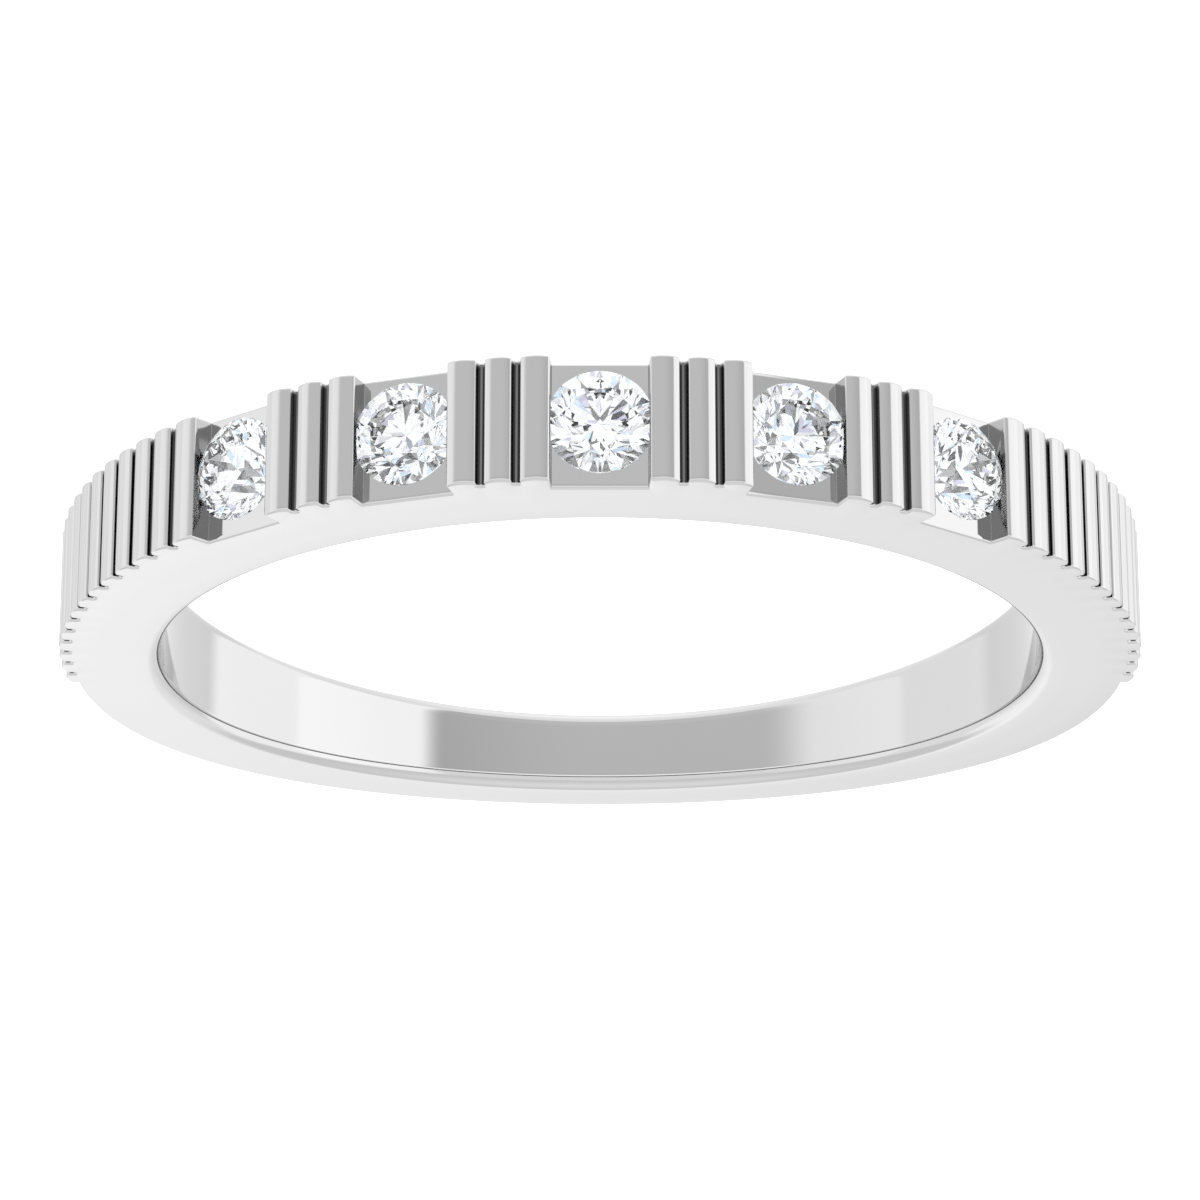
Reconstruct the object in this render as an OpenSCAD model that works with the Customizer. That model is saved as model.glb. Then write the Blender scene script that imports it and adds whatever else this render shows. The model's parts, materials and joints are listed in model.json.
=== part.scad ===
// Stacking ring: a polished band with five round stones in flat seats, fine ribs across the band
// between and beside the stones, and a plain shank that narrows to the palm side.
// The ring lies on its side. Z is the finger's axis, the stones face -Y, and the origin is the
// middle of the finger hole. All sizes are in millimetres and degrees.

/* [Finger hole] */
// Inner diameter, which sets the ring size
bore_d = 17.3; // [16.5:0.1:19]
// Width of the slanted edge round both rims of the hole
rim_break = 0.15; // [0.05:0.01:0.2]

/* [Band] */
// Width of the band along the finger, at the stones and shoulders
band_w = 2.4; // [2.2:0.05:3]
// Width at the palm side, measured at the rim of the hole
palm_w = 1.72; // [1.5:0.02:2.1]
// Thickness of the plain shank, and of the metal under the stones' seats
wall = 1.7; // [1.6:0.05:2]

/* [Stones] */
// Diameter of each round stone
stone_d = 1.94; // [1.8:0.01:1.96]
// Angle from one stone to the next
stone_step = 19.5; // [19.3:0.1:20]
// Half the angle of a seat, from its middle to the rib beside it
seat_half = 4.75; // [4.7:0.05:4.85]
// Height of the stones' widest line above the seat's floor
girdle_rise = 0.2; // [0.16:0.01:0.24]
// Gap left all round a stone
stone_gap = 0.02; // [0.02:0.005:0.03]

/* [Ribs] */
// Height of a rib's edges above the seat's floor, beside the stones
rib_rise = 0.45; // [0.4:0.01:0.48]
// Height of a rib's rounded top above its edges
rib_round = 0.08; // [0.06:0.01:0.14]
// Width of the middle rib between two stones
rib_w = 0.505; // [0.46:0.005:0.52]
// Width of the grooves between ribs
groove_w = 0.145; // [0.12:0.005:0.18]
// Depth of the grooves below the ribs' edges
groove_depth = 0.17; // [0.12:0.005:0.19]
// Number of ribs on each shoulder
shoulder_ribs = 14; // [6:1:14]
// Angle from the middle stone to the first groove on a shoulder
shoulder_first = 47.2; // [46.9:0.1:47.5]
// Angle from one shoulder groove to the next
shoulder_pitch = 3.57; // [3.4:0.01:3.6]
// Radius of the circle that the shoulder ribs' edges follow
shoulder_r = 10.51; // [10.48:0.01:10.55]
// Distance of that circle's middle from the hole's middle, toward the stones
shoulder_shift = 0.416; // [0.38:0.002:0.43]

/* [Stone cut] */
// Width of the table as a share of the diameter
table_share = 0.57; // [0.53:0.01:0.62]
// Height of the crown as a share of the diameter
crown_share = 0.1625; // [0.13:0.0025:0.17]
// Thickness of the girdle as a share of the diameter
girdle_share = 0.035; // [0.02:0.005:0.04]
// Depth of the pavilion as a share of the diameter
pavilion_share = 0.44; // [0.41:0.005:0.45]
// How far out the pavilion's main facets meet the lower ones, as a share of the radius
main_share = 0.19; // [0.18:0.01:0.3]

/* [Hidden] */
stone_count = 5;
middle_stone = 3;
bore_r = bore_d / 2;
shank_r = bore_r + wall;
edge_r = shank_r + rib_rise;
inner_y = 4;
far = shank_r + 2;
last_seat = stone_step * (stone_count - 1) / 2;
shoulder_start = last_seat + seat_half;
shoulder_end = shoulder_first + shoulder_pitch * (shoulder_ribs - 1) - groove_half(shoulder_first);
taper_drop = (band_w - palm_w) / 2;
taper_r = (bore_r * bore_r + taper_drop * taper_drop) / (2 * taper_drop);
girdle_r = shank_r + girdle_rise;
overlap = 0.1;
overlap_angle = 1;
facet_step = 45;
rim_steps = 72;
top_steps = 8;
round_fn = 180;
small_fn = 48;

// A point at an angle from the stones' side, positive toward +X
function point(angle, r) = [r * sin(angle), -r * cos(angle)];

// Radius of the ribs' edges: level over the stones, then the shoulder's own circle
function shoulder_at(angle) =
    shoulder_shift * cos(angle) + sqrt(pow(shoulder_r, 2) - pow(shoulder_shift * sin(angle), 2));
function edge_at(angle) = min(edge_r, shoulder_at(angle));

// Half the angle that a groove takes up there
function groove_half(angle) = groove_w / 2 / edge_at(angle) * 180 / PI;

// Grooves between two stones, measured from their ribs' middle, and the row on a shoulder
rib_half = rib_w / 2 / edge_r * 180 / PI;
group_groove = rib_half + groove_half(0);
shoulder_grooves = [for (k = [0:shoulder_ribs - 2]) shoulder_first + k * shoulder_pitch];
seats = [for (k = [0:stone_count - 1]) k * stone_step - last_seat];

// Start and end angle of every rib, in order from -X over the stones to +X
group_ribs = [
    for (gap = [0:stone_count - 2])
        let (
            middle = (gap + 0.5) * stone_step - last_seat,
            outer = stone_step / 2 - seat_half,
            groove = groove_half(0)
        )
        each [
            [middle - outer, middle - group_groove - groove],
            [middle - rib_half, middle + rib_half],
            [middle + group_groove + groove, middle + outer]
        ]
];
right_ribs = [
    for (k = [0:shoulder_ribs - 1])
        [
            k == 0
                ? shoulder_start
                : shoulder_grooves[k - 1] + groove_half(shoulder_grooves[k - 1]),
            k == shoulder_ribs - 1
                ? shoulder_end
                : shoulder_grooves[k] - groove_half(shoulder_grooves[k])
        ]
];
left_ribs = [for (k = [shoulder_ribs - 1:-1:0]) [-right_ribs[k][1], -right_ribs[k][0]]];
ribs = concat(left_ribs, group_ribs, right_ribs);

// Points of one rib's round top, from edge to edge
function rib_top(rib) =
    let (
        a = point(rib[0], edge_at(rib[0])),
        b = point(rib[1], edge_at(rib[1])),
        chord = norm(b - a),
        top_r = (chord * chord / 4 + rib_round * rib_round) / (2 * rib_round),
        out = [b[1] - a[1], a[0] - b[0]] / chord
    )
    [
        for (k = [0:top_steps])
            let (
                u = k / top_steps,
                rise = sqrt(pow(top_r, 2) - pow(chord * (u - 0.5), 2)) - (top_r - rib_round)
            )
            a + (b - a) * u + out * rise
    ];

// Radius at the walls of what lies between two ribs: a seat's flat floor, or a groove's
function is_seat(start, end) = end - start > 1.5 * seat_half;
function floor_at(start, end) =
    is_seat(start, end) ? shank_r / cos(seat_half) : edge_at((start + end) / 2) - groove_depth;
function gap_floor(start, end) = [for (angle = [start, end]) point(angle, floor_at(start, end))];

// The ribs, grooves and seats seen along the finger
module ribbed_section() {
    polygon([
        each [
            for (k = [0:len(ribs) - 1])
                each concat(
                    rib_top(ribs[k]),
                    k < len(ribs) - 1 ? gap_floor(ribs[k][1], ribs[k + 1][0]) : []
                )
        ],
        [0, inner_y]
    ]);
}

// The plain shank seen along the finger, from the last rib of one shoulder to the other's
module shank_section() {
    intersection() {
        circle(r = shank_r, $fn = round_fn);
        polygon([
            [0, -inner_y], point(shoulder_end - overlap_angle, far), [far, 2 * far],
            [-far, 2 * far], point(overlap_angle - shoulder_end, far)
        ]);
    }
}

// The band seen from its side: full width over the stones, then long arcs to the palm side
module side_section() {
    translate([-far, -band_w / 2])
        square([far, band_w]);
    intersection() {
        translate([0, taper_r - band_w / 2])
            circle(r = taper_r, $fn = 8 * round_fn);
        translate([0, band_w / 2 - taper_r])
            circle(r = taper_r, $fn = 8 * round_fn);
        translate([0, -band_w])
            square([far, 2 * band_w]);
    }
}

// Half the band's width at a place, which falls along the arc past the middle
function half_width(y) = band_w / 2 - (y > 0 ? taper_r - sqrt(taper_r * taper_r - y * y) : 0);

// Cuts the slanted edge round one rim of the hole, following the band's width
module rim_cut() {
    function section(angle) =
        let (
            rim = half_width(bore_r * sin(angle)),
            low = bore_r - overlap,
            high = bore_r + rim_break + overlap
        )
        [
            for (p = [[low, rim - rim_break - overlap], [high, rim + overlap], [low, rim + overlap]])
                [p[0] * cos(angle), p[0] * sin(angle), p[1]]
        ];
    polyhedron(
        points = [for (k = [0:rim_steps - 1]) each section(k * 360 / rim_steps)],
        faces = [
            for (k = [0:rim_steps - 1], side = [0:2])
                let (
                    next = (k + 1) % rim_steps,
                    other = (side + 1) % 3,
                    a = 3 * k + side,
                    b = 3 * k + other,
                    c = 3 * next + other,
                    d = 3 * next + side
                )
                each [[a, b, c], [a, c, d]]
        ]
    );
}

// The space that a stone and its gap take out of the metal, with the stone's axis along Z
module stone_pocket() {
    r = stone_d / 2;
    half_girdle = girdle_share * stone_d / 2;
    rotate_extrude($fn = small_fn)
        polygon([
            [0, -half_girdle - pavilion_share * stone_d - stone_gap],
            [r + stone_gap, -half_girdle - stone_gap],
            [r + stone_gap, half_girdle + stone_gap],
            [table_share * r + stone_gap, half_girdle + crown_share * stone_d + stone_gap],
            [0, half_girdle + crown_share * stone_d + stone_gap]
        ]);
}

// Turns a stone or its pocket from the Z axis to its place in the band
module at_seat(angle) {
    rotate(angle)
        translate([0, -girdle_r, 0])
            rotate([90, 0, 0])
                children();
}

module band() {
    color("silver")
        difference() {
            intersection() {
                union() {
                    linear_extrude(height = 2 * band_w, center = true)
                        ribbed_section();
                    linear_extrude(height = 2 * band_w, center = true)
                        shank_section();
                }
                rotate([90, 0, 90])
                    linear_extrude(height = 2 * far, center = true)
                        side_section();
            }
            cylinder(h = 3 * band_w, r = bore_r, center = true, $fn = round_fn);
            rim_cut();
            mirror([0, 0, 1])
                rim_cut();
            for (angle = seats)
                at_seat(angle)
                    stone_pocket();
        }
}

// A round brilliant with its table up: table, stars, kites, girdle and pavilion facets
module brilliant() {
    r = stone_d / 2;
    table_r = table_share * r;
    top = girdle_share * stone_d / 2;
    bottom = -top;
    table_z = top + crown_share * stone_d;
    culet_z = bottom - pavilion_share * stone_d;
    c = cos(facet_step / 2);
    star_r = (table_r * c + r) / 2;
    star_z = table_z + (top - table_z) * (star_r * c - table_r) / (r - table_r);
    lower_r = main_share * r;
    lower_z = culet_z + (bottom - culet_z) * lower_r * c / r;
    function ring(radius, z, count, start) =
        [
            for (k = [0:count - 1])
                let (angle = start + k * 360 / count)
                [radius * cos(angle), radius * sin(angle), z]
        ];
    points = concat(
        ring(table_r, table_z, 8, 0),
        ring(star_r, star_z, 8, facet_step / 2),
        ring(r, top, 16, 0),
        ring(r, bottom, 16, 0),
        ring(lower_r, lower_z, 8, facet_step / 2),
        [[0, 0, culet_z]]
    );
    star = 8;
    upper = 16;
    lower = 32;
    tip = 48;
    culet = 56;
    polyhedron(
        points = points,
        faces = concat(
            [[for (k = [7:-1:0]) k]],
            [for (k = [0:7]) [k, (k + 1) % 8, star + k]],
            [for (k = [0:7]) [k, star + k, upper + 2 * k, star + (k + 7) % 8]],
            [for (k = [0:7]) [star + k, upper + 2 * k + 1, upper + 2 * k]],
            [for (k = [0:7]) [star + k, upper + (2 * k + 2) % 16, upper + 2 * k + 1]],
            [for (k = [0:15]) [upper + k, upper + (k + 1) % 16, lower + (k + 1) % 16, lower + k]],
            [for (k = [0:7]) [tip + k, lower + 2 * k, lower + 2 * k + 1]],
            [for (k = [0:7]) [tip + k, lower + 2 * k + 1, lower + (2 * k + 2) % 16]],
            [for (k = [0:7]) [culet, tip + (k + 7) % 8, lower + 2 * k, tip + k]]
        )
    );
}

// A stone in its seat, counted from -X to +X
module stone(number) {
    color("white")
        at_seat((number - middle_stone) * stone_step)
            brilliant();
}

band();
stone(1);  // stone_1
stone(2);  // stone_2
stone(3);  // stone_3
stone(4);  // stone_4
stone(5);  // stone_5
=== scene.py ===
"""Looks of the stacking ring: a ribbed white metal band and five round brilliant stones.

Model frame in metres: Z is the finger's axis, the stones face -Y, and the origin is the middle of
the finger hole. Sizes below are in millimetres and angles in degrees until a mesh is made.
"""

import json
import math

import bmesh
import bpy
from mathutils import Matrix, Vector
from mathutils.geometry import delaunay_2d_cdt


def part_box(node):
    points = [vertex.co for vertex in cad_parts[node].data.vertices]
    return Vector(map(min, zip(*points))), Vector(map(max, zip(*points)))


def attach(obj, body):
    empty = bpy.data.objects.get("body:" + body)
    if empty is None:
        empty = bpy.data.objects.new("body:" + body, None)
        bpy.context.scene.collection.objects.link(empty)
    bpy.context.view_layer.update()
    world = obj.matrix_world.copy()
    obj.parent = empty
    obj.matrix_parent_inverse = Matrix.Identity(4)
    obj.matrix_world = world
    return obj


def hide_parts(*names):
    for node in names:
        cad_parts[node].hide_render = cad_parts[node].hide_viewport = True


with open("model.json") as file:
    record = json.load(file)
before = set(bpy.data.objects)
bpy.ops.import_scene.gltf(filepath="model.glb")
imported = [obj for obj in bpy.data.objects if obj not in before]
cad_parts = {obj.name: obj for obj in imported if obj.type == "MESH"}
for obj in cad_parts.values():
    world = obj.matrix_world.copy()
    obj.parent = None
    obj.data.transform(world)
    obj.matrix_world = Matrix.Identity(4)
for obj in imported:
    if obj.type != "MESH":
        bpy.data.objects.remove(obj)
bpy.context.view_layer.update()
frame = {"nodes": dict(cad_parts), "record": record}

MM = 0.001

# Sizes that the frame gives
MOUNTS = {mount["name"]: mount for mount in frame["record"]["mounts"]}
BORE_R = MOUNTS["finger_hole"]["dims"]["r_mm"]
BAND_W = 2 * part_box("band")[1].z / MM
STONE_R = (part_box("stone_3")[1].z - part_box("stone_3")[0].z) / 2 / MM
STONE_COUNT = sum(name.startswith("stone_") for name in frame["nodes"])

# Band: its thickness, how far each side face drops to the palm side, and its rounded edges
WALL = 1.7
SHANK_R = BORE_R + WALL
PALM_DROP = 0.34
RIM_ROUND = 0.26
EDGE_ROUND = 0.05

# Seats, as angles round the ring, and the height of the stones' girdle over a seat's floor
STONE_STEP = 19.5
SEAT_HALF = 4.75
LAST_SEAT = STONE_STEP * (STONE_COUNT - 1) / 2
GIRDLE_RISE = 0.2
GIRDLE_R = SHANK_R + GIRDLE_RISE

# Ribs and grooves: the edges' height over a seat's floor, the round top's height over the edges,
# the roundings of the corners, and the grooves between
RIB_RISE = 0.45
EDGE_R = SHANK_R + RIB_RISE
RIB_ROUND = 0.08
RIB_W = 0.505
RIB_CORNER = 0.05
SEAT_CORNER = 0.004
LEAST_CORNER = 0.002
GROOVE_W = 0.145
GROOVE_DEPTH = 0.17

# Shoulders: angles of the grooves, and the circle that the ribs' edges follow
SHOULDER_RIBS = 14
SHOULDER_FIRST = 47.2
SHOULDER_PITCH = 3.57
SHOULDER_R = 10.51
SHOULDER_SHIFT = 0.416

# Stone cut, as shares of the stone's radius
TABLE = 0.57
CROWN = 0.325
GIRDLE = 0.07
PAVILION = 0.88
LOWER_TIP = 0.19
FACET_STEP = 45
STONE_TURN = FACET_STEP / 2
POCKET_GAP = 0.004

# Fineness of the meshes, as steps along each curve. The side faces also have rings of points, at
# shares of the way from the hole to the outside.
CORNER_STEPS = 4
RIB_STEPS = 14
GROOVE_STEPS = 10
SHANK_STEPS = 180
BORE_STEPS = 300
EDGE_STEPS = 5
RIM_STEPS = 8
SIDE_STEPS = 180
SIDE_RINGS = (0.3, 0.65)
STONE_STEPS = 96

# Edges stay sharp from this angle on, and points nearer than these distances count as one
SHARP_ANGLE = 26
SAME_POINT = 1e-7
SAME_PLANE = 1e-8
FLAT_FACE_WEIGHT = 100

# Photograph's view: square frame, angles and distance fitted to the ring's outline, and how near
# and far the camera sees
PHOTO_PX = 1200
FOCAL_PX = 5142
CAMERA_ELEVATION = 19.41
CAMERA_DISTANCE = 101.8
CAMERA_RISE = 0.3234
SENSOR_MM = 36
NEAREST = 1
FARTHEST = 10000


def polar(angle, radius):
    """A point of the band's plan, at an angle from -Y toward +X."""
    a = math.radians(angle)
    return Vector((radius * math.sin(a), -radius * math.cos(a)))


def half_width(y):
    """Half the band's width at a place: full toward the stones, and falling along an arc behind."""
    arc = (BORE_R**2 + PALM_DROP**2) / (2 * PALM_DROP)
    drop = arc - math.sqrt(arc**2 - y**2) if y > 0 else 0
    return BAND_W / 2 - drop


# Plan of the band


def edge_at(angle):
    """Radius of the ribs' edges: level over the stones, then the shoulder's own circle."""
    a = math.radians(angle)
    shoulder = SHOULDER_SHIFT * math.cos(a) + math.sqrt(
        SHOULDER_R**2 - (SHOULDER_SHIFT * math.sin(a)) ** 2
    )
    return min(EDGE_R, shoulder)


def groove_half(angle):
    """Half the angle that a groove takes up there."""
    return math.degrees(GROOVE_W / 2 / edge_at(angle))


def rib_angles():
    """Start and end angle of every rib, in order from -X over the stones to +X."""
    rib_half = math.degrees(RIB_W / 2 / EDGE_R)
    outer = STONE_STEP / 2 - SEAT_HALF
    inner = rib_half + 2 * groove_half(0)
    ribs = []
    for gap in range(STONE_COUNT - 1):
        middle = (gap + 0.5) * STONE_STEP - LAST_SEAT
        ribs.append((middle - outer, middle - inner))
        ribs.append((middle - rib_half, middle + rib_half))
        ribs.append((middle + inner, middle + outer))
    start = LAST_SEAT + SEAT_HALF
    shoulder = []
    for k in range(SHOULDER_RIBS):
        groove = SHOULDER_FIRST + k * SHOULDER_PITCH
        shoulder.append((start, groove - groove_half(groove)))
        start = groove + groove_half(groove)
    mirrored = [(-b, -a) for a, b in reversed(shoulder)]
    return mirrored + ribs + shoulder


def is_seat(start, end):
    """Whether a seat lies between two ribs, and not a groove."""
    return end - start > SEAT_HALF


def rounded_corner(before, corner, after, radius):
    """Points of an arc that rounds a corner of the outline."""
    u = (before - corner).normalized()
    v = (after - corner).normalized()
    half = u.angle(v) / 2
    length = radius / math.tan(half)
    centre = corner + (u + v).normalized() * (radius / math.sin(half))
    start = corner + u * length - centre
    end = corner + v * length - centre
    turn = start.angle_signed(end)
    turns = [-turn * k / CORNER_STEPS for k in range(CORNER_STEPS + 1)]
    return [centre + Matrix.Rotation(t, 2) @ start for t in turns]


def rib_top(start, end):
    """Points along a rib's round top, from edge to edge."""
    a = polar(start, edge_at(start))
    b = polar(end, edge_at(end))
    chord = (b - a).length
    radius = (chord**2 / 4 + RIB_ROUND**2) / (2 * RIB_ROUND)
    out = Vector((b.y - a.y, a.x - b.x)) / chord
    points = []
    for k in range(RIB_STEPS + 1):
        u = k / RIB_STEPS
        rise = math.sqrt(radius**2 - (chord * (u - 0.5)) ** 2) - (radius - RIB_ROUND)
        points.append(a.lerp(b, u) + out * rise)
    return points


def groove_bottom(start, end):
    """Points of a groove's round bottom, from wall to wall."""
    middle = (start + end) / 2
    low = edge_at(middle) - GROOVE_DEPTH
    centre = polar(middle, low + GROOVE_W / 2)
    along = polar(middle + 90, GROOVE_W / 2)
    inward = -polar(middle, GROOVE_W / 2)
    turns = [math.pi * k / GROOVE_STEPS for k in range(GROOVE_STEPS + 1)]
    return [centre - along * math.cos(t) + inward * math.sin(t) for t in turns]


def seat_bottom(start, end):
    """The two corners of a seat's flat floor."""
    radius = SHANK_R / math.cos(math.radians(SEAT_HALF))
    return [polar(start, radius), polar(end, radius)]


def band_corners():
    """Corners of the band's plan in order: the point, its rounding, and what leaves it."""
    ribs = rib_angles()
    corners = []
    for k, (start, end) in enumerate(ribs):
        top = rib_top(start, end)
        corners.append((top[0], RIB_CORNER, "crown"))
        corners += [(p, 0, "crown") for p in top[1:-1]]
        after = ribs[k + 1][0] if k < len(ribs) - 1 else end
        seat = is_seat(end, after)
        corners.append((top[-1], RIB_CORNER, "wall" if seat else "groove"))
        if k == len(ribs) - 1:
            continue
        if seat:
            left, right = seat_bottom(end, after)
            corners.append((left, SEAT_CORNER, "floor"))
            corners.append((right, SEAT_CORNER, "wall"))
        else:
            corners += [(p, 0, "groove") for p in groove_bottom(end, after)]
    last = ribs[-1][1]
    for k in range(SHANK_STEPS + 1):
        angle = last + (360 - 2 * last) * k / SHANK_STEPS
        corners.append((polar(angle, SHANK_R), 0, "shank"))
    return corners


def inset_outline(corners, inset):
    """The plan moved inward with its corners rounded, and what each edge that leaves a point is."""
    count = len(corners)
    moved, signs = [], []
    for k, (point, _, _) in enumerate(corners):
        a = (point - corners[k - 1][0]).normalized()
        b = (corners[(k + 1) % count][0] - point).normalized()
        out = Vector((a.y + b.y, -a.x - b.x)).normalized()
        moved.append(point - out * inset / out.dot(Vector((a.y, -a.x))))
        signs.append(1 if a.cross(b) > 0 else -1)
    points, kinds = [], []
    for k, (_, radius, kind) in enumerate(corners):
        arc = [moved[k]]
        if radius:
            radius = max(radius - signs[k] * inset, LEAST_CORNER)
            arc = rounded_corner(moved[k - 1], moved[k], moved[(k + 1) % count], radius)
        points += arc
        kinds += ["crown"] * (len(arc) - 1) + [kind]
    return points, kinds


def quarter(radius, steps):
    """Inset and drop along a rounded edge, from the side face to the wall."""
    turns = [math.pi / 2 * k / steps for k in range(steps + 1)]
    return [(radius * (1 - math.sin(t)), radius * (1 - math.cos(t))) for t in turns]


# Meshes


def mesh_object(name, vertices, faces, materials, face_material=None):
    """A mesh object from millimetre points, with its faces' material numbers."""
    mesh = bpy.data.meshes.new(name)
    mesh.from_pydata([Vector(v) * MM for v in vertices], [], faces)
    for material in materials:
        mesh.materials.append(material)
    if face_material:
        mesh.polygons.foreach_set("material_index", face_material)
    mesh.validate()
    piece = bpy.data.objects.new(name, mesh)
    bpy.context.scene.collection.objects.link(piece)
    return piece


# Which of the band's materials a stretch of its outer wall has, where it isn't the polished one.
# Both are darker greys: painted shade on the walls beside a seat and in the grooves.
LOOKS = {"wall": 1, "groove": 2}


def wall_rows(plan_at, radius, steps):
    """Rows of points down a wall: a rounded edge at each side face, then a level strip."""
    rows = []
    profile = quarter(radius, steps) + [(0, radius + EDGE_ROUND)]
    rim = plan_at(radius)
    for side in (1, -1):
        part = []
        for inset, drop in profile:
            plan = plan_at(inset)
            part.append([(q.x, q.y, side * (half_width(p.y) - drop)) for p, q in zip(rim, plan)])
        rows += part if side == 1 else part[::-1]
    return rows


def side_mesh(outer, inner):
    """Triangles between the inset outline and the bore's rim, with rings of points between."""
    rings = []
    for share in SIDE_RINGS:
        radius = BORE_R + RIM_ROUND + share * (SHANK_R - EDGE_ROUND - BORE_R - RIM_ROUND)
        rings += [polar(360 * (k + share) / SIDE_STEPS, radius) for k in range(SIDE_STEPS)]
    points = outer + inner + rings
    a, b = len(outer), len(inner)
    edges = [(k, (k + 1) % a) for k in range(a)] + [(a + k, a + (k + 1) % b) for k in range(b)]
    inside = 1
    points, _, triangles, sources, _, _ = delaunay_2d_cdt(points, edges, [], inside, SAME_POINT)
    rim = [any(a <= s < a + b for s in source) for source in sources]
    return points, [t for t in triangles if not all(rim[v] for v in t)], sources


def band_piece(materials):
    """The band: outer wall, bore and both side faces as one closed mesh."""
    corners = band_corners()
    kinds = inset_outline(corners, 0)[1]

    def outer_at(inset):
        return inset_outline(corners, inset)[0]

    def bore_at(inset):
        return [polar(360 * k / BORE_STEPS, BORE_R + inset) for k in range(BORE_STEPS)]

    vertices, faces, looks = [], [], []
    loops = []
    walls = ((outer_at, EDGE_ROUND, EDGE_STEPS, False), (bore_at, RIM_ROUND, RIM_STEPS, True))
    for plan_at, radius, steps, flip in walls:
        rows = wall_rows(plan_at, radius, steps)
        first = len(vertices)
        count = len(rows[0])
        for row in rows:
            vertices += row
        for r in range(len(rows) - 1):
            level = steps <= r < len(rows) - 1 - steps
            for k in range(count):
                n = (k + 1) % count
                quad = [first + r * count + k, first + (r + 1) * count + k]
                quad += [first + (r + 1) * count + n, first + r * count + n]
                faces.append(quad[::-1] if flip else quad)
                # walls beside a seat and grooves take the darker metals: painted shade
                looks.append(LOOKS.get(kinds[k], 0) if level and not flip else 0)
        loops.append((first, first + (len(rows) - 1) * count, count))
    outer, inner = (
        [Vector(v[:2]) for v in vertices[top : top + count]] for top, _, count in loops
    )
    points, triangles, sources = side_mesh(outer, inner)
    for side, row in ((1, 0), (-1, 1)):
        index = []
        for p, source in zip(points, sources):
            known = [s for s in source if s < len(outer) + len(inner)]
            if known and known[0] < len(outer):
                index.append(loops[0][row] + known[0])
            elif known:
                index.append(loops[1][row] + known[0] - len(outer))
            else:
                index.append(len(vertices))
                vertices.append((p.x, p.y, side * half_width(p.y)))
        for t in triangles:
            face = [index[v] for v in t]
            faces.append(face if side == 1 else face[::-1])
            looks.append(0)
    return mesh_object("band_metal", vertices, faces, materials, looks)


def seat_matrix(number):
    """From a stone's own frame, table up, to its seat in the band."""
    angle = math.radians((number - (STONE_COUNT + 1) / 2) * STONE_STEP)
    place = Matrix.Translation((0, -GIRDLE_R * MM, 0))
    return Matrix.Rotation(angle, 4, "Z") @ place @ Matrix.Rotation(math.pi / 2, 4, "X")


def pocket_piece(number, material):
    """What a stone takes out of the metal: its own round outline and a small gap."""
    half_girdle = GIRDLE * STONE_R / 2 + POCKET_GAP
    main_drop = PAVILION * STONE_R * (1 - LOWER_TIP * math.cos(math.radians(FACET_STEP / 2)))
    profile = [
        (TABLE * STONE_R + POCKET_GAP, half_girdle + CROWN * STONE_R),
        (STONE_R + POCKET_GAP, half_girdle),
        (STONE_R + POCKET_GAP, -half_girdle),
        (LOWER_TIP * STONE_R + POCKET_GAP, -half_girdle - main_drop),
    ]
    turns = [360 * k / STONE_STEPS for k in range(STONE_STEPS)]
    vertices = [spin(radius, z, turn) for radius, z in profile for turn in turns]
    tip = len(vertices)
    vertices.append((0, 0, -half_girdle - PAVILION * STONE_R - POCKET_GAP))
    faces = [list(range(STONE_STEPS))]
    last = (len(profile) - 1) * STONE_STEPS
    for k in range(STONE_STEPS):
        n = (k + 1) % STONE_STEPS
        for row in range(0, last, STONE_STEPS):
            faces.append([row + k, row + STONE_STEPS + k, row + STONE_STEPS + n, row + n])
        faces.append([last + k, tip, last + n])
    piece = mesh_object(f"pocket_{number}", vertices, faces, [material])
    piece.data.transform(seat_matrix(number))
    return piece


def cut_pockets(band, material):
    """Takes the stones' pockets out of the band and drops the cutters."""
    cutters = [pocket_piece(n, material) for n in range(1, STONE_COUNT + 1)]
    for cutter in cutters:
        modifier = band.modifiers.new(cutter.name, "BOOLEAN")
        modifier.operation = "DIFFERENCE"
        modifier.solver = "EXACT"
        modifier.object = cutter
        # the pockets' faces take the cutters' darker metal: painted shade under the stones
        modifier.material_mode = "TRANSFER"
        apply_modifiers(band)
    for cutter in cutters:
        bpy.data.objects.remove(cutter)


def apply_modifiers(piece):
    """Replaces a piece's mesh by what its modifiers make of it."""
    graph = bpy.context.evaluated_depsgraph_get()
    mesh = bpy.data.meshes.new_from_object(piece.evaluated_get(graph))
    piece.modifiers.clear()
    piece.data = mesh


def smooth_band(band):
    """Shades curved stretches smoothly and keeps flat faces flat."""
    mesh = band.data
    mesh.polygons.foreach_set("use_smooth", [True] * len(mesh.polygons))
    mesh.set_sharp_from_angle(angle=math.radians(SHARP_ANGLE))
    modifier = band.modifiers.new("flat faces", "WEIGHTED_NORMAL")
    modifier.mode = "FACE_AREA"
    modifier.weight = FLAT_FACE_WEIGHT
    modifier.keep_sharp = True
    apply_modifiers(band)


def plane_of(a, b, c):
    """Point and outward normal of the plane through three points of a stone."""
    normal = (b - a).cross(c - a).normalized()
    return a, normal if normal.dot(a) > 0 else -normal


def spin(radius, z, angle):
    """A point of a stone at an angle round its axis."""
    a = math.radians(angle)
    return Vector((radius * math.cos(a), radius * math.sin(a), z))


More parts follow.
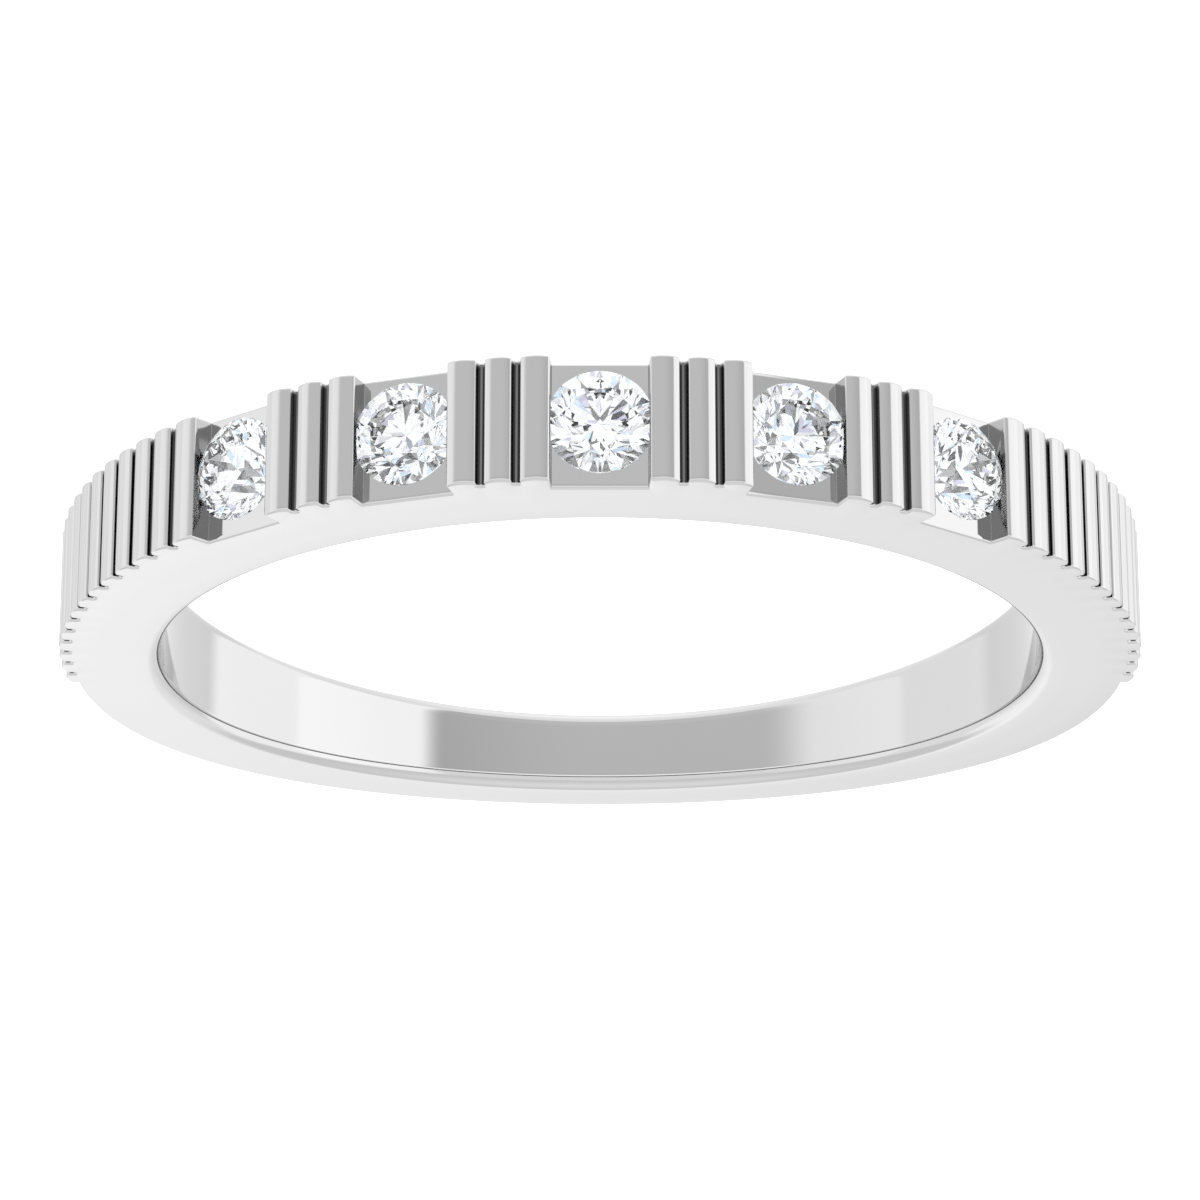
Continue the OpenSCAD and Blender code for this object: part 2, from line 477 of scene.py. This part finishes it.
def facet_planes():
    """Planes of a round brilliant's facets, in millimetres, table up."""
    r = STONE_R
    top = GIRDLE * r / 2
    table_z = top + CROWN * r
    culet = Vector((0, 0, -top - PAVILION * r))
    half_step = FACET_STEP / 2
    c = math.cos(math.radians(half_step))
    star_r = (TABLE * c + 1) / 2 * r
    star_z = table_z + (top - table_z) * (star_r * c - TABLE * r) / (r - TABLE * r)
    tip_r = LOWER_TIP * r
    tip_z = culet.z + (-top - culet.z) * tip_r * c / r
    planes = [(Vector((0, 0, table_z)), Vector((0, 0, 1)))]
    for k in range(360 // FACET_STEP):
        a = STONE_TURN + FACET_STEP * k
        between = a + half_step
        after = a + FACET_STEP
        corner = spin(TABLE * r, table_z, a)
        flat = spin(1, 0, a + 90)
        star = spin(star_r, star_z, between)
        tip = spin(tip_r, tip_z, between)
        planes.append(plane_of(corner, spin(r, top, a), corner + flat))
        planes.append(plane_of(corner, spin(TABLE * r, table_z, after), star))
        planes.append(plane_of(culet, spin(r, -top, a), culet + flat))
        for b in (a, after):
            planes.append(plane_of(star, spin(r, top, b), spin(r, top, between)))
            planes.append(plane_of(tip, spin(r, -top, b), spin(r, -top, between)))
    return planes


def stone_piece(number, material):
    """One brilliant, cut plane by plane from a round blank, in its seat."""
    bm = bmesh.new()
    radius = STONE_R * MM
    bmesh.ops.create_cone(
        bm, cap_ends=True, segments=STONE_STEPS, radius1=radius, radius2=radius, depth=4 * radius
    )
    for point, normal in facet_planes():
        cut = bmesh.ops.bisect_plane(
            bm,
            geom=bm.verts[:] + bm.edges[:] + bm.faces[:],
            dist=SAME_PLANE,
            plane_co=point * MM,
            plane_no=normal,
            clear_outer=True,
        )
        rim = [e for e in cut["geom_cut"] if isinstance(e, bmesh.types.BMEdge) and e.is_boundary]
        if rim:
            bmesh.ops.contextual_create(bm, geom=rim)
    bmesh.ops.remove_doubles(bm, verts=bm.verts[:], dist=SAME_POINT)
    bmesh.ops.recalc_face_normals(bm, faces=bm.faces[:])
    name = f"brilliant_{number}"
    mesh = bpy.data.meshes.new(name)
    bm.to_mesh(mesh)
    bm.free()
    mesh.materials.append(material)
    mesh.transform(seat_matrix(number))
    piece = bpy.data.objects.new(name, mesh)
    bpy.context.scene.collection.objects.link(piece)
    return piece


# Materials

# Grey and roughness of the metal: polished, on the walls beside a seat, in the grooves between
# ribs, and in the stones' pockets. The walls', grooves' and pockets' darker greys are painted shade
# in these hollows.
METALS = {
    "polished metal": (0.50, 0.05),
    "recess metal": (0.33, 0.12),
    "groove metal": (0.18, 0.03),
    "pocket metal": (0.35, 0.2),
}
EDGE_TINT = 0.94
POLISH_SCALE = 400
POLISH_DETAIL = 3
TONE_SPREAD = 0.015
HAZE_SPREAD = 0.2
STONE_IOR = 2.417
STONE_SHEEN = 0.4
STONE_BOUNCES = 24
METAL_BOUNCES = 10


def new_material(name):
    """An empty node material and its Principled shader."""
    material = bpy.data.materials.new(name)
    material.use_nodes = True
    return material, material.node_tree.nodes["Principled BSDF"]


class Nodes:
    """Adds nodes to one tree. Values are numbers or other nodes' outputs."""

    def __init__(self, tree):
        self.tree = tree

    def new(self, kind):
        """A node of some kind."""
        return self.tree.nodes.new(f"ShaderNode{kind}")

    def link(self, output, socket):
        """Joins two sockets."""
        self.tree.links.new(output, socket)

    def math(self, operation, a, b=0.0):
        """The result of one operation on one or two values."""
        node = self.new("Math")
        node.operation = operation
        for socket, value in zip(node.inputs, (a, b)):
            if isinstance(value, (int, float)):
                socket.default_value = value
            else:
                self.link(value, socket)
        return node.outputs[0]

    def colours(self, mask, low, high):
        """The low colour where the mask is 0, and the high one where it is 1."""
        node = self.new("Mix")
        node.data_type = "RGBA"
        self.link(mask, node.inputs["Factor"])
        for socket, value in ((node.inputs["A"], low), (node.inputs["B"], high)):
            if isinstance(value, tuple):
                socket.default_value = (*value, 1)
            else:
                self.link(value, socket)
        return node.outputs["Result"]

    def blended(self, mask, low, high):
        """The low value where the mask is 0, and the high one where it is 1."""
        return self.math("ADD", low, self.math("MULTIPLY", mask, self.math("SUBTRACT", high, low)))

    def ramp(self, value, span):
        """0 up to a span's first angle, 1 from its second on, smooth between. Takes radians."""
        node = self.new("MapRange")
        node.interpolation_type = "SMOOTHSTEP"
        node.inputs["From Min"].default_value = math.radians(span[0])
        node.inputs["From Max"].default_value = math.radians(span[1])
        self.link(value, node.inputs["Value"])
        return node.outputs["Result"]

    def between(self, value, low, high):
        """1 between two angles and 0 outside, with soft edges."""
        rise = self.ramp(value, (low - EDGE_SOFT, low + EDGE_SOFT))
        fall = self.ramp(value, (high - EDGE_SOFT, high + EDGE_SOFT))
        return self.math("SUBTRACT", rise, fall)


def metal_material(name, grey, roughness):
    """Polished white metal with a faint unevenness of the polish."""
    material, shader = new_material(name)
    nodes = Nodes(material.node_tree)
    shader.inputs["Metallic"].default_value = 1
    shader.inputs["Specular Tint"].default_value = (EDGE_TINT, EDGE_TINT, EDGE_TINT, 1)
    cloud = nodes.new("TexNoise")
    cloud.inputs["Scale"].default_value = POLISH_SCALE
    cloud.inputs["Detail"].default_value = POLISH_DETAIL
    nodes.link(nodes.new("TexCoord").outputs["Object"], cloud.inputs["Vector"])
    dark = grey * (1 - TONE_SPREAD)
    light = grey * (1 + TONE_SPREAD)
    tone = nodes.colours(cloud.outputs["Fac"], (dark, dark, dark), (light, light, light))
    nodes.link(tone, shader.inputs["Base Color"])
    haze = nodes.new("MapRange")
    haze.inputs["To Min"].default_value = roughness * (1 - HAZE_SPREAD)
    haze.inputs["To Max"].default_value = roughness * (1 + HAZE_SPREAD)
    nodes.link(cloud.outputs["Fac"], haze.inputs["Value"])
    nodes.link(haze.outputs["Result"], shader.inputs["Roughness"])
    return material


def stone_material():
    """Clear, strongly bending glass with a weak sheen outside.

    Rays that come off the metal pass straight through it.
    """
    material, shader = new_material("clear stone")
    nodes = Nodes(material.node_tree)
    shader.inputs["Roughness"].default_value = 0
    shader.inputs["IOR"].default_value = STONE_IOR
    shader.inputs["Transmission Weight"].default_value = 1
    sheen = nodes.math("MAXIMUM", nodes.new("NewGeometry").outputs["Backfacing"], STONE_SHEEN)
    nodes.link(sheen, shader.inputs["Specular Tint"])
    path = nodes.new("LightPath")
    off_metal = nodes.math("SUBTRACT", path.outputs["Is Glossy Ray"], path.outputs["Is Singular Ray"])
    mix = nodes.new("MixShader")
    nodes.link(off_metal, mix.inputs["Fac"])
    nodes.link(shader.outputs["BSDF"], mix.inputs[1])
    nodes.link(nodes.new("BsdfTransparent").outputs["BSDF"], mix.inputs[2])
    output = material.node_tree.nodes["Material Output"]
    nodes.link(mix.outputs["Shader"], output.inputs["Surface"])
    return material


# Studio
# A direction has an azimuth, 0 toward the stones and positive toward +X, and an elevation.
# A light is how bright the surroundings are there, and a pair of angles is where one light turns
# into the next.

# Beside the ring, brighter toward -X
PLUS_X_LIGHT = 1.46
MINUS_X_LIGHT = 1.74
SIDES_MEET = (-40, 40)
SIDE_RISE = (50, 86)
SIDE_RISE_LIGHT = 0.10
SIDE_FALL = (88, 92)
SIDE_FALL_LIGHT = 0.16

# In front: a bright strip over a low grey panel, which is darker toward -X and near its top
FRONT_LIGHT = 1.30
FRONT_START = (-51, -43)
FRONT_END = (44, 62)
STRIP_HIGH = -4
STRIP_LIGHT = 1.80
PANEL_HIGH = -12
PANEL_LOW = -38
PANEL_LIGHT = 0.98
PANEL_DIM_LIGHT = 0.78
PANEL_TURN = (-60, 0)
PANEL_TOP = (-21, -16)
PANEL_TOP_SHARE = 0.9
EDGE_SOFT = 1

# Behind: brighter higher up and toward +X, with a low dark strip opposite the stones
BACK_START = (123, 131)
BACK_LIGHT = 1.21
BACK_RISE = (0, 26)
BACK_RISE_LIGHT = 0.33
LEAN_LIGHT = 0.25
LEAN_TURN = (-9, 9)
LEAN_RISE = (-5, 10)
SHADE_START = (156, 160)
SHADE_LOW = -17.5
SHADE_HIGH = -11
SHADE_LIGHT = 0.2

# Above and below
DOME_START = (27, 38)
DOME_LIGHT = 1.11
DOME_RISE = (42, 80)
DOME_RISE_LIGHT = 0.23
GROUND_END = (-42, -34)
GROUND_LIGHT = 1.43
GROUND_RISE = (-90, -50)
GROUND_LOW_LIGHT = 1.79

# What the stones let through: patches, as the share of them where a tint starts and the tint, and
# a dark spot in front, a little below the ring's plane
STONE_LIGHT = 1.42
SPOT_DIP = 3.3
SPOT_EDGE = (9.8, 7.8)
SPOT_LIGHT = 0.32
PATCH_SCALE = 5
PATCHES = [
    (0, (0.97, 0.99, 1)),
    (0.66, (0.60, 0.76, 0.92)),
    (0.79, (0.76, 0.78, 0.82)),
    (0.87, (0.60, 0.60, 0.74)),
    (0.90, (0.30, 0.32, 0.36)),
    (0.96, (0.03, 0.03, 0.05)),
]

# Floor: half its size, its grey and its own light
FLOOR_Z = -BAND_W / 2
FLOOR_HALF = 400
FLOOR_GREY = 0.8
FLOOR_GLOW = 0.95


def room_light(nodes, x, y, z):
    """Brightness of the studio by direction: sides, front, back, above and below."""
    azimuth = nodes.math("ARCTAN2", x, nodes.math("MULTIPLY", y, -1))
    away = nodes.math("ABSOLUTE", azimuth)
    elevation = nodes.math("ARCSINE", z)

    side = nodes.blended(nodes.ramp(azimuth, SIDES_MEET), MINUS_X_LIGHT, PLUS_X_LIGHT)
    risen = nodes.math("ADD", side, SIDE_RISE_LIGHT)
    side = nodes.blended(nodes.ramp(away, SIDE_RISE), side, risen)
    fallen = nodes.math("SUBTRACT", side, SIDE_FALL_LIGHT)
    side = nodes.blended(nodes.ramp(away, SIDE_FALL), side, fallen)

    back_high = BACK_LIGHT + BACK_RISE_LIGHT
    back = nodes.blended(nodes.ramp(elevation, BACK_RISE), BACK_LIGHT, back_high)
    lean = nodes.math("SUBTRACT", nodes.ramp(x, LEAN_TURN), 0.5)
    lean = nodes.math("MULTIPLY", lean, LEAN_LIGHT)
    lean = nodes.math("MULTIPLY", lean, nodes.ramp(elevation, LEAN_RISE))
    back = nodes.math("ADD", back, lean)

    dome_high = DOME_LIGHT + DOME_RISE_LIGHT
    dome = nodes.blended(nodes.ramp(elevation, DOME_RISE), DOME_LIGHT, dome_high)
    ground = nodes.blended(nodes.ramp(elevation, GROUND_RISE), GROUND_LOW_LIGHT, GROUND_LIGHT)

    panel = nodes.blended(nodes.ramp(azimuth, PANEL_TURN), PANEL_DIM_LIGHT, PANEL_LIGHT)
    panel_top = nodes.math("MULTIPLY", panel, PANEL_TOP_SHARE)
    panel = nodes.blended(nodes.ramp(elevation, PANEL_TOP), panel, panel_top)

    past_front = nodes.ramp(azimuth, FRONT_END)
    in_front = nodes.math("SUBTRACT", nodes.ramp(azimuth, FRONT_START), past_front)
    light = nodes.blended(in_front, side, FRONT_LIGHT)
    light = nodes.blended(nodes.ramp(away, BACK_START), light, back)
    light = nodes.blended(nodes.ramp(elevation, DOME_START), light, dome)
    light = nodes.blended(nodes.ramp(elevation, GROUND_END), ground, light)
    on_strip = nodes.math("MULTIPLY", in_front, nodes.between(elevation, PANEL_HIGH, STRIP_HIGH))
    light = nodes.blended(on_strip, light, STRIP_LIGHT)
    on_panel = nodes.math("MULTIPLY", in_front, nodes.between(elevation, PANEL_LOW, PANEL_HIGH))
    light = nodes.blended(on_panel, light, panel)
    opposite = nodes.ramp(away, SHADE_START)
    in_shade = nodes.math("MULTIPLY", opposite, nodes.between(elevation, SHADE_LOW, SHADE_HIGH))
    return nodes.blended(in_shade, light, SHADE_LIGHT)


def stone_light(nodes, y, z):
    """Brightness of what the stones let through: even, but for the dark spot in front."""
    dip = math.radians(SPOT_DIP)
    along = nodes.math("MULTIPLY", y, -math.cos(dip))
    down = nodes.math("MULTIPLY", z, -math.sin(dip))
    from_spot = nodes.math("ARCCOSINE", nodes.math("ADD", along, down))
    return nodes.blended(nodes.ramp(from_spot, SPOT_EDGE), STONE_LIGHT, SPOT_LIGHT)


def patch_colour(nodes, direction):
    """Tint of what the stones let through: a patchwork round the whole ring."""
    patches = nodes.new("TexVoronoi")
    patches.inputs["Scale"].default_value = PATCH_SCALE
    nodes.link(direction, patches.inputs["Vector"])
    lot = nodes.new("SeparateXYZ")
    nodes.link(patches.outputs["Color"], lot.inputs[0])
    tints = nodes.new("ValToRGB")
    tints.color_ramp.interpolation = "CONSTANT"
    stops = tints.color_ramp.elements
    stops.remove(stops[1])
    for start, colour in PATCHES:
        stop = stops.new(start) if start else stops[0]
        stop.color = (*colour, 1)
    nodes.link(lot.outputs["X"], tints.inputs["Fac"])
    return tints.outputs["Color"]


def studio():
    """A bright studio set by direction alone. Rays through a stone see its own surroundings."""
    world = bpy.data.worlds.new("studio")
    bpy.context.scene.world = world
    world.use_nodes = True
    nodes = Nodes(world.node_tree)
    direction = nodes.new("TexCoord").outputs["Generated"]
    split = nodes.new("SeparateXYZ")
    nodes.link(direction, split.inputs[0])
    x, y, z = split.outputs
    through = nodes.new("LightPath").outputs["Is Transmission Ray"]
    colour = nodes.colours(through, (1, 1, 1), patch_colour(nodes, direction))
    light = nodes.blended(through, room_light(nodes, x, y, z), stone_light(nodes, y, z))
    background = world.node_tree.nodes["Background"]
    nodes.link(colour, background.inputs["Color"])
    nodes.link(light, background.inputs["Strength"])


def floor_piece():
    """A plain pale floor that the ring lies on, left out of the ring's mirror images."""
    turns = ((-1, -1), (1, -1), (1, 1), (-1, 1))
    corners = [(FLOOR_HALF * x, FLOOR_HALF * y, FLOOR_Z) for x, y in turns]
    material, shader = new_material("pale floor")
    shader.inputs["Base Color"].default_value = (FLOOR_GREY, FLOOR_GREY, FLOOR_GREY, 1)
    shader.inputs["Roughness"].default_value = 1
    shader.inputs["Specular IOR Level"].default_value = 0
    shader.inputs["Emission Color"].default_value = (1, 1, 1, 1)
    shader.inputs["Emission Strength"].default_value = FLOOR_GLOW
    floor = mesh_object("floor", corners, [[0, 1, 2, 3]], [material])
    floor.visible_glossy = False
    floor.visible_transmission = False
    return floor


def camera():
    """The photograph's view, turned half round its own axis as the photograph is."""
    e = math.radians(CAMERA_ELEVATION)
    right = Vector((-1, 0, 0))
    up = Vector((0, -math.sin(e), -math.cos(e)))
    back = Vector((0, -math.cos(e), math.sin(e)))
    data = bpy.data.cameras.new("camera")
    data.sensor_width = SENSOR_MM
    data.lens = SENSOR_MM * FOCAL_PX / PHOTO_PX
    data.clip_start = NEAREST * MM
    data.clip_end = FARTHEST * MM
    view = bpy.data.objects.new("camera", data)
    place = (back * CAMERA_DISTANCE + up * CAMERA_RISE) * MM
    view.matrix_world = Matrix.Translation(place) @ Matrix((right, up, back)).transposed().to_4x4()
    bpy.context.scene.collection.objects.link(view)
    bpy.context.scene.camera = view


camera()
studio()
floor_piece()

# The recess, groove and pocket metals are darker than the polished one: painted shade in the hollows.
metal, recess, groove, pocket = (metal_material(name, *look) for name, look in METALS.items())
band = band_piece([metal, recess, groove])
cut_pockets(band, pocket)
smooth_band(band)
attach(band, "root")
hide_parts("band")

clear = stone_material()
for number in range(1, STONE_COUNT + 1):
    stone = stone_piece(number, clear)
    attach(stone, "root")
    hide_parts(f"stone_{number}")

scene = bpy.context.scene
scene.view_settings.view_transform = "Standard"
scene.cycles.max_bounces = STONE_BOUNCES
scene.cycles.transmission_bounces = STONE_BOUNCES
scene.cycles.glossy_bounces = METAL_BOUNCES
scene.cycles.blur_glossy = 0
